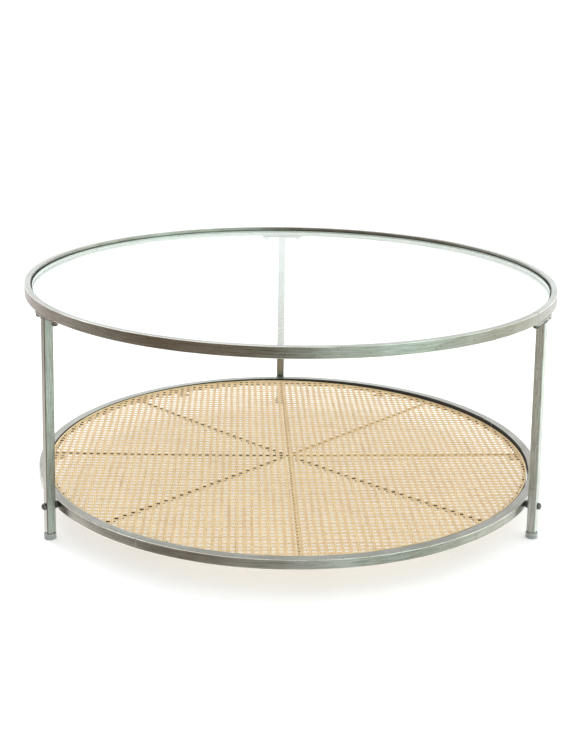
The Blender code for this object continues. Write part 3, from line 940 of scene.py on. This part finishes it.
def add_pads():
    """Clear domed bumpers between the ledge and the glass."""
    for number in range(1, 7):
        node = f"glass_pad_{number}"
        low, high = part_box(node)
        radius, height = (high.x - low.x) / 2, high.z - low.z
        outline = [(0.0, 0.0), (radius, 0.0)]
        for k in range(1, 7):
            angle = k / 7 * math.pi / 2
            outline.append((radius * math.sqrt(math.cos(angle)), height * math.sin(angle)))
        outline.append((0.0, height))
        pad = lathe_solid(f"{node}_dome", outline, clear_pad, steps=24)
        place = middle(node)
        place.z = low.z
        stand(pad, place)
        smooth(pad)
        add_piece(pad, FRAME_BODY, "clear_pad", node)


# ---------------------------------------------------------------- shelf panel


def warped(piece):
    """Lifts the panel's rim except on one side, as a hoop that has dried unevenly does."""
    radius = box_radius("panel_hoop")
    for vertex in piece.data.vertices:
        away = vertex.co - PANEL_AXIS
        turn = math.atan2(away.y, away.x) - math.radians(WARP_LOW_TURN)
        share = (2 - math.cos(turn) - math.cos(2 * turn)) / 3
        vertex.co.z += WARP * (away.xy.length / radius) ** 2 * share
    return piece


def add_panel_frame():
    """The wooden hoop and the slats across it: one wood, in a near-black copy as painted shade and a
    golden copy as painted light.
    """
    low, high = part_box("panel_hoop")
    outer = box_radius("panel_hoop")
    outline = rounded_outline(outer - HOOP_WIDTH, outer, low.z, high.z, HOOP_EDGE)
    hoop = lathe_ring("panel_hoop_wood", PANEL_AXIS, [outline], wood_painted_shade)
    smooth(warped(hoop))
    add_piece(hoop, PANEL_BODY, "brown_wood", "panel_hoop")
    for bar in SHADED_BARS + LIT_BARS:
        wood = wood_painted_shade if bar in SHADED_BARS else wood_painted_light
        piece = refined(f"panel_bar_{bar}_wood", f"panel_bar_{bar}", wood, bevel=SHEET_BEVEL, cuts=16)
        smooth(warped(piece))
        add_piece(piece, PANEL_BODY, "brown_wood", f"panel_bar_{bar}")


def add_edging():
    """The plain cane border round the panel."""
    low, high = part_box("panel_edging")
    outer = box_radius("panel_edging")
    outline = rounded_outline(outer - EDGING_WIDTH, outer, low.z, high.z, EDGING_EDGE, 4)
    edging = lathe_ring(
        "panel_edging_cane", PANEL_AXIS, [outline], cane_edge, out_of_true=EDGING_OUT_OF_TRUE
    )
    smooth(warped(edging))
    add_piece(edging, PANEL_BODY, "cane", "panel_edging")


def strand(points, axis):
    """Corners of a strand that runs along one axis (0 or 1): a flat diamond round each point."""
    side = np.zeros(3)
    side[1 - axis] = STRAND_WIDTH[axis] / 2
    up = np.array((0, 0, STRAND_THICKNESS / 2))
    return np.stack([points + side, points + up, points - side, points - up], axis=1).reshape(-1, 3)


def strand_faces(start, count):
    """Quads along a strand of count sections, with a cap at both ends."""
    rows = start + 4 * np.arange(count - 1)[:, None]
    corner = np.arange(4)[None, :]
    after = (corner + 1) % 4
    sides = np.stack([rows + corner, rows + after, rows + 4 + after, rows + 4 + corner], axis=2)
    last = start + 4 * (count - 1)
    caps = [[start + 3, start + 2, start + 1, start], [last, last + 1, last + 2, last + 3]]
    return sides.reshape(-1, 4).tolist() + caps


def drift(rng, along):
    """A slow sideways drift along a band, from a generator of the band's own."""
    phases = rng.uniform(0, 2 * math.pi, 3)
    lengths = rng.uniform((0.35, 0.12, 0.05), (0.70, 0.20, 0.08))
    sizes = STRAND_WAVE * np.array((1.0, 0.55, 0.3))
    return sum(s * np.sin(2 * math.pi * along / w + p) for s, w, p in zip(sizes, lengths, phases))


def crossings(axis, band, number, count):
    """Where a strand meets the bands that cross it, and how high it passes there.

    Strands along Y pass over and under the crossing bands by turns, and the
    strands along X lie straight between them.
    """
    shift = CANE_SHIFT[axis]
    middles = np.arange(-count, count + 1) * CANE_PITCH + shift
    if axis == 0:
        return middles + CANE_PITCH / 2, np.zeros(len(middles))
    edge = CANE_BAND[0] / 2
    stops = np.sort(np.concatenate([middles - edge, middles + edge]))
    index = np.floor((stops - shift + CANE_PITCH / 2) / CANE_PITCH).astype(int)
    return stops, np.where((index + band + number) % 2 == 0, STRAND_LIFT, -STRAND_LIFT)


def weave(name, axis, radius, height, rng, material, low_side, high_side):
    """The strands that run along one axis (0 or 1), between two offsets across it."""
    across = 1 - axis
    count = int(radius / CANE_PITCH) + 2
    points, faces = [], []
    total = 0
    for band in range(-count, count + 1):
        band_middle = band * CANE_PITCH + CANE_SHIFT[across]
        for number in range(STRANDS):
            offset = band_middle + (number - (STRANDS - 1) / 2) * CANE_BAND[axis] / STRANDS
            own = rng.uniform(-STRAND_SPREAD, STRAND_SPREAD)
            if abs(offset) >= radius or not low_side <= band_middle < high_side:
                continue
            half = math.sqrt(radius**2 - offset**2)
            stops, lift = crossings(axis, band, number, count)
            inside = np.abs(stops) < half - 0.001
            if not inside.any():
                continue
            along = np.concatenate([[-half], stops[inside], [half]])
            band_rng = np.random.RandomState(CANE_SEED * 1000 + band + 500 * axis)
            place = np.zeros((len(along), 3))
            place[:, axis] = along
            place[:, across] = offset + own + drift(band_rng, along)
            place[1:-1, 2] = lift[inside]
            points.append(strand(place, axis))
            faces += strand_faces(total, len(along))
            total += 4 * len(along)
    everything = np.concatenate(points) + np.array((PANEL_AXIS.x, PANEL_AXIS.y, height))
    piece = make_object(name, everything.tolist(), faces, material)
    piece.data.shade_smooth()
    return piece


def add_cane():
    """The open cloth, in three pieces: the lengthwise strands are too many for one."""
    low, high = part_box("cane_sheet")
    radius = box_radius("panel_edging") - EDGING_WIDTH + CANE_UNDER_EDGING
    height = (low.z + high.z) / 2
    rng = np.random.RandomState(CANE_SEED)
    parts = [
        ("cane_strands_crosswise", 0, cane_crosswise, -1.0, 1.0),
        ("cane_strands_lengthwise_left", 1, cane_lengthwise, -1.0, 0.0),
        ("cane_strands_lengthwise_right", 1, cane_lengthwise, 0.0, 1.0),
    ]
    for name, axis, material, low_side, high_side in parts:
        piece = warped(weave(name, axis, radius, height, rng, material, low_side, high_side))
        add_piece(piece, PANEL_BODY, "cane", "cane_sheet")


# ---------------------------------------------------------------- studio


def heading(turn, elevation):
    """Direction seen from the table: turn 0 is the camera's side, + is to its right."""
    turn, elevation = math.radians(turn), math.radians(elevation)
    level = math.cos(elevation)
    return Vector((math.sin(turn) * level, -math.cos(turn) * level, math.sin(elevation)))


def add_world():
    """A white room with soft patches of light and shade, and plain white behind the table."""
    world = bpy.data.worlds.new("studio")
    bpy.context.scene.world = world
    world.use_nodes = True
    tree = world.node_tree
    tree.nodes.clear()

    def node(kind, **settings):
        made = tree.nodes.new(kind)
        for key, value in settings.items():
            setattr(made, key, value)
        return made

    def calc(operation, *values):
        made = node("ShaderNodeMath", operation=operation)
        for socket, value in zip(made.inputs, values):
            if isinstance(value, (int, float)):
                socket.default_value = value
            else:
                tree.links.new(value, socket)
        return made.outputs[0]

    coordinates = node("ShaderNodeTexCoord")
    split = node("ShaderNodeSeparateXYZ")
    tree.links.new(coordinates.outputs["Generated"], split.inputs[0])
    x, y, z = split.outputs
    turn = calc("ARCTAN2", x, calc("MULTIPLY", y, -1.0))
    elevation = calc("ARCSINE", z)
    colour = None
    for middle_turn, middle_elevation, width, height, sign, tint in STUDIO_PATCHES:
        away = calc("SUBTRACT", turn, math.radians(middle_turn))
        away = calc("WRAP", away, math.pi, -math.pi)
        across = calc("DIVIDE", away, math.radians(width))
        up = calc("DIVIDE", calc("SUBTRACT", elevation, math.radians(middle_elevation)),
                  math.radians(height))
        squares = calc("ADD", calc("MULTIPLY", across, across), calc("MULTIPLY", up, up))
        amount = calc("EXPONENT", calc("MULTIPLY", squares, -1.0))
        mixer = node("ShaderNodeMix", data_type="RGBA", blend_type="ADD" if sign > 0 else "SUBTRACT",
                     clamp_result=False, clamp_factor=False)
        tree.links.new(amount, mixer.inputs[0])
        if colour is None:
            mixer.inputs[6].default_value = (*STUDIO_BASE, 1.0)
        else:
            tree.links.new(colour, mixer.inputs[6])
        mixer.inputs[7].default_value = (*tint, 1.0)
        colour = mixer.outputs[2]
    light = node("ShaderNodeBackground")
    tree.links.new(colour, light.inputs["Color"])
    light.inputs["Strength"].default_value = 1.0
    backdrop = node("ShaderNodeBackground")
    backdrop.inputs["Color"].default_value = (1.0, 1.0, 1.0, 1.0)
    backdrop.inputs["Strength"].default_value = BACKDROP_GLOW
    path = node("ShaderNodeLightPath")
    pick = node("ShaderNodeMixShader")
    tree.links.new(path.outputs["Is Camera Ray"], pick.inputs[0])
    tree.links.new(light.outputs[0], pick.inputs[1])
    tree.links.new(backdrop.outputs[0], pick.inputs[2])
    output = node("ShaderNodeOutputWorld")
    tree.links.new(pick.outputs[0], output.inputs["Surface"])


def add_floor():
    """Over-lit white paper: it glows a little, as the bleached floor of a catalogue shot does."""
    paint = Paint("floor_paper", (0.80, 0.82, 0.855), 0.9)
    paint.set("Specular IOR Level", 0.0)
    paint.set("Emission Color", (0.97, 0.98, 0.99, 1.0))
    paint.set("Emission Strength", FLOOR_GLOW)
    signs = ((-1, -1), (1, -1), (1, 1), (-1, 1))
    corners = [(FLOOR_HALF * x, FLOOR_HALF * y, 0.0) for x, y in signs]
    floor = make_object("floor", corners, [(0, 1, 2, 3)], paint.material)
    floor.visible_glossy = False


def add_lights():
    """One broad, weak lamp high at the back left, to give the cane some relief."""
    lamp = bpy.data.lights.new("soft_key", "SUN")
    lamp.energy = KEY_ENERGY
    lamp.angle = math.radians(KEY_ANGLE)
    holder = new_object("soft_key", lamp)
    towards = heading(KEY_TURN, KEY_ELEVATION)
    holder.rotation_mode = "QUATERNION"
    holder.rotation_quaternion = towards.to_track_quat("Z", "Y")


def add_camera():
    """The view from in front of the table, a little above it."""
    data = bpy.data.cameras.new("camera")
    data.sensor_width = SENSOR_WIDTH
    data.lens = CAMERA_LENS
    data.shift_y = CAMERA_SHIFT_Y
    camera = new_object("camera", data)
    turn = Matrix.Rotation(-CAMERA_TURN, 3, "Z")
    ahead = turn @ Vector((0, math.cos(CAMERA_DOWN), -math.sin(CAMERA_DOWN)))
    level = turn @ Vector((1, 0, 0))
    upright = level.cross(ahead)
    right = math.cos(CAMERA_ROLL) * level + math.sin(CAMERA_ROLL) * upright
    up = -math.sin(CAMERA_ROLL) * level + math.cos(CAMERA_ROLL) * upright
    place = turn @ Vector((CAMERA_SIDEWAYS, -CAMERA_DISTANCE, 0.0)) + RING_AXIS
    place.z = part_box("top_ring")[1].z + CAMERA_ABOVE_TOP
    matrix = Matrix((right, up, -ahead)).transposed().to_4x4()
    matrix.translation = place
    camera.matrix_world = matrix
    bpy.context.scene.camera = camera


# ---------------------------------------------------------------- assembly

metal_ring = brushed_metal(
    "zinc_steel_ring", (0.190, 0.180, 0.156), (0.268, 0.276, 0.256), 0.31, RING_AXIS)
# Painted light and shade: the legs are one steel, but each has its own lighter or darker copy for the
# light it catches; the right one is far lighter and less metallic.
leg_metals_painted_light = {
    "back": brushed_metal("zinc_steel_leg_back_painted_light", (0.24, 0.25, 0.24), (0.30, 0.32, 0.31), 0.33),
    "left": brushed_metal("zinc_steel_leg_left", (0.215, 0.210, 0.195), (0.265, 0.272, 0.258), 0.33),
    "right": brushed_metal("zinc_steel_leg_right_painted_light", (0.40, 0.43, 0.41), (0.50, 0.54, 0.52), 0.33,
                           metallic=0.68),
}
metal_leg = leg_metals_painted_light["left"]
# Painted highlight: much brighter, glossier steel on the rings' rounded outer edges.
metal_edge_highlight = brushed_metal(
    "zinc_steel_edge_highlight", (0.42, 0.41, 0.38), (0.60, 0.61, 0.58), 0.26, RING_AXIS)
# Painted shade: near-black steel for the lower ring's inner wall.
metal_inner_painted_shade = matt_material(
    "zinc_steel_inner_painted_shade", (0.012, 0.011, 0.010), (0.035, 0.032, 0.028), 0.7)
# Painted light: the ledge's steel, made far lighter than the ring's.
metal_ledge_painted_light = brushed_metal(
    "zinc_steel_ledge_painted_light", (0.62, 0.63, 0.60), (0.74, 0.75, 0.72), 0.45, RING_AXIS)
metal_screw = screw_metal()
metal_weld = weld_metal()
clear_glass = glass_material()
# Painted shade and light: opaque dark and pale colours for the glass's edge.
glass_edge_painted_shade = glass_edge_material("clear_glass_edge_painted_shade", (0.015, 0.030, 0.024), (0.05, 0.085, 0.07))
glass_edge_painted_light = glass_edge_material("clear_glass_edge_painted_light", (0.66, 0.74, 0.70), (0.80, 0.87, 0.84))
clear_pad = pad_material()
cane_crosswise = cane_material("cane_crosswise", across=1)
cane_lengthwise = cane_material("cane_lengthwise", across=0)
cane_edge = edging_material()
# Painted shade and light: one wood, in a near-black copy for the hoop and the shaded slats and a golden
# copy for the lit ones.
wood_painted_shade = wood_material(
    "brown_wood_painted_shade", (0.018, 0.005, 0.0005), (0.048, 0.014, 0.001), (0.080, 0.028, 0.004))
wood_painted_light = wood_material(
    "brown_wood_painted_light", (0.42, 0.26, 0.08), (0.60, 0.40, 0.14), (0.72, 0.52, 0.22))
plastic_foot = matt_material("foot_plastic_grey", (0.22, 0.23, 0.225), (0.36, 0.37, 0.365), 0.3)
plastic_spacer = matt_material(
    "spacer_plastic_black", (0.015, 0.015, 0.015), (0.035, 0.035, 0.034), 0.45)

add_top_ring()
add_lower_ring()
add_ledge()
for leg_name, leg_angle in LEGS.items():
    add_leg(leg_name, leg_angle)
    add_screws(leg_name, leg_angle)
    add_bolt_parts(leg_name, leg_angle)
    add_foot(leg_name)
add_tabs()
add_glass()
add_pads()
add_panel_frame()
add_edging()
add_cane()
add_world()
add_floor()
add_lights()
add_camera()
bpy.context.scene.view_settings.view_transform = "Standard"
